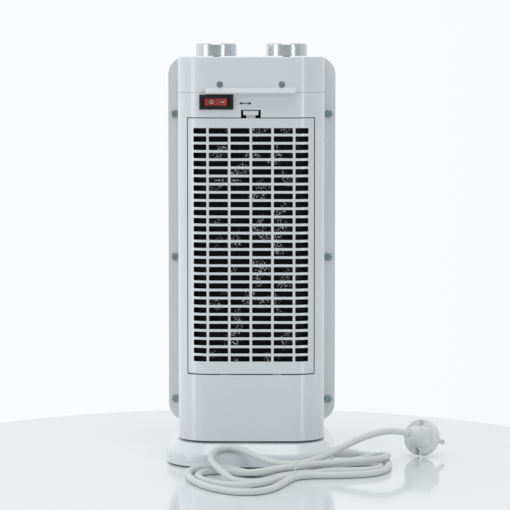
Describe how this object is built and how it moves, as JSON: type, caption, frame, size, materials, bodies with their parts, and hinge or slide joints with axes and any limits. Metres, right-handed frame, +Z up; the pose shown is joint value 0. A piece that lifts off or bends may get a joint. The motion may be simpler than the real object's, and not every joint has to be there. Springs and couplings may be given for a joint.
{
  "type": "fan convector heater",
  "caption": "Slim upright fan heater with a slotted filter door at the back, control knobs on top and an oscillating base.",
  "frame": {"origin": "where the swivel axis meets the surface that the base stands on, which is the middle of the base", "axes": "+Z up along the swivel axis, -Y towards the back with the filter door, +Y towards the warm-air outlet, +X to the right seen from the back"},
  "size_m": [0.2606, 0.296, 0.3873],
  "materials": {
    "casing_white": "moulded ABS, semi-gloss",
    "base_white": "moulded ABS, semi-gloss",
    "grille_grey": "moulded heat-resistant plastic",
    "switch_black": "moulded nylon",
    "rocker_red": "translucent red",
    "knob_silver": "vacuum-metallised, satin polished",
    "screw_zinc": "zinc plated",
    "mesh_black": "woven nylon",
    "cord_pvc": "soft white PVC",
    "plug_white": "moulded PVC",
    "pin_nickel": "nickel-plated brass",
    "foot_rubber": "soft rubber",
    "acetal": "natural acetal",
    "duct_steel": "galvanised sheet",
    "motor_steel": "laminated and plated steel",
    "fan_black": "glass-filled plastic",
    "ptc_frame_black": "phenolic",
    "fin_aluminium": "corrugated fins",
    "tie_clear": "clear coated wire"
  },
  "bodies": {
    "base": {"base_cover": "base_white", "base_plate": "base_white", "rubber_feet": "foot_rubber", "base_screws": "screw_zinc", "swivel_ring": "acetal", "drive_link": "acetal", "tip_switch": "switch_black", "cord_clamp": "acetal", "strain_relief": "cord_pvc", "cord_lead": "cord_pvc", "cord_hank": "cord_pvc", "cord_tail": "cord_pvc", "cord_tie": "tie_clear", "plug_body": "plug_white", "plug_pins": "pin_nickel", "earth_clips": "pin_nickel"},
    "housing": {"rear_casing": "casing_white", "front_casing": "casing_white", "front_bezel": "casing_white", "outlet_grille": "grille_grey", "top_cap": "casing_white", "floor_pan": "base_white", "casing_screws": "screw_zinc", "cap_screws": "screw_zinc", "pivot_stud": "acetal", "pivot_washer": "screw_zinc", "air_duct": "duct_steel", "top_bearing": "acetal", "fan_motor": "motor_steel", "motor_bracket": "duct_steel", "ptc_frame": "ptc_frame_black", "ptc_fins": "fin_aluminium", "thermal_cutout": "motor_steel", "swing_motor": "motor_steel", "mode_switch": "switch_black", "thermostat": "ptc_frame_black", "rocker_bezel": "switch_black"},
    "fan": {"fan_wheel": "fan_black"},
    "crank": {"swing_crank": "acetal"},
    "mode_control": {"mode_knob": "knob_silver", "mode_shaft": "acetal"},
    "heat_control": {"thermostat_knob": "knob_silver", "thermostat_shaft": "acetal"},
    "rocker_button": {"rocker": "rocker_red"},
    "door": {"filter_door": "casing_white", "filter_mesh": "mesh_black"},
    "latch": {"door_latch": "casing_white"},
    "plunger": {"tilt_plunger": "switch_black"}
  },
  "joints": [
    {"name": "housing_swing", "type": "hinge", "parent": "base", "child": "housing", "pos_m": [0, 0, 0.023], "axis": [0, 0, 1], "range_deg": [-35, 35]},
    {"name": "crank_turn", "type": "hinge", "parent": "housing", "child": "crank", "pos_m": [0, 0.026, 0.02], "axis": [0, 0, 1], "range_deg": [-125.5, 125.5]},
    {"name": "fan_spin", "type": "hinge", "parent": "housing", "child": "fan", "pos_m": [0, -0.018, 0.2], "axis": [0, 0, 1], "continuous": true},
    {"name": "mode_turn", "type": "hinge", "parent": "housing", "child": "mode_control", "pos_m": [-0.0324, -0.022, 0.38], "axis": [0, 0, -1], "range_deg": [0, 135]},
    {"name": "heat_turn", "type": "hinge", "parent": "housing", "child": "heat_control", "pos_m": [0.0324, -0.022, 0.38], "axis": [0, 0, -1], "range_deg": [0, 270]},
    {"name": "rocker_rock", "type": "hinge", "parent": "housing", "child": "rocker_button", "pos_m": [-0.0314, -0.0596, 0.3339], "axis": [0, 0, 1], "range_deg": [0, 22]},
    {"name": "door_tilt", "type": "hinge", "parent": "housing", "child": "door", "pos_m": [0, -0.0608, 0.0862], "axis": [1, 0, 0], "range_deg": [0, 60]},
    {"name": "latch_press", "type": "slide", "parent": "door", "child": "latch", "axis": [0, 0, -1], "range_m": [0, 0.0022], "stiffness_N_per_m": 300},
    {"name": "plunger_travel", "type": "slide", "parent": "base", "child": "plunger", "axis": [0, 0, -1], "range_m": [0, 0.004], "stiffness_N_per_m": 120, "springref_m": 0.006}
  ],
  "couplings": [
    {"joint": "crank_turn", "follows": "housing_swing", "ratio": -3.5714}
  ]
}
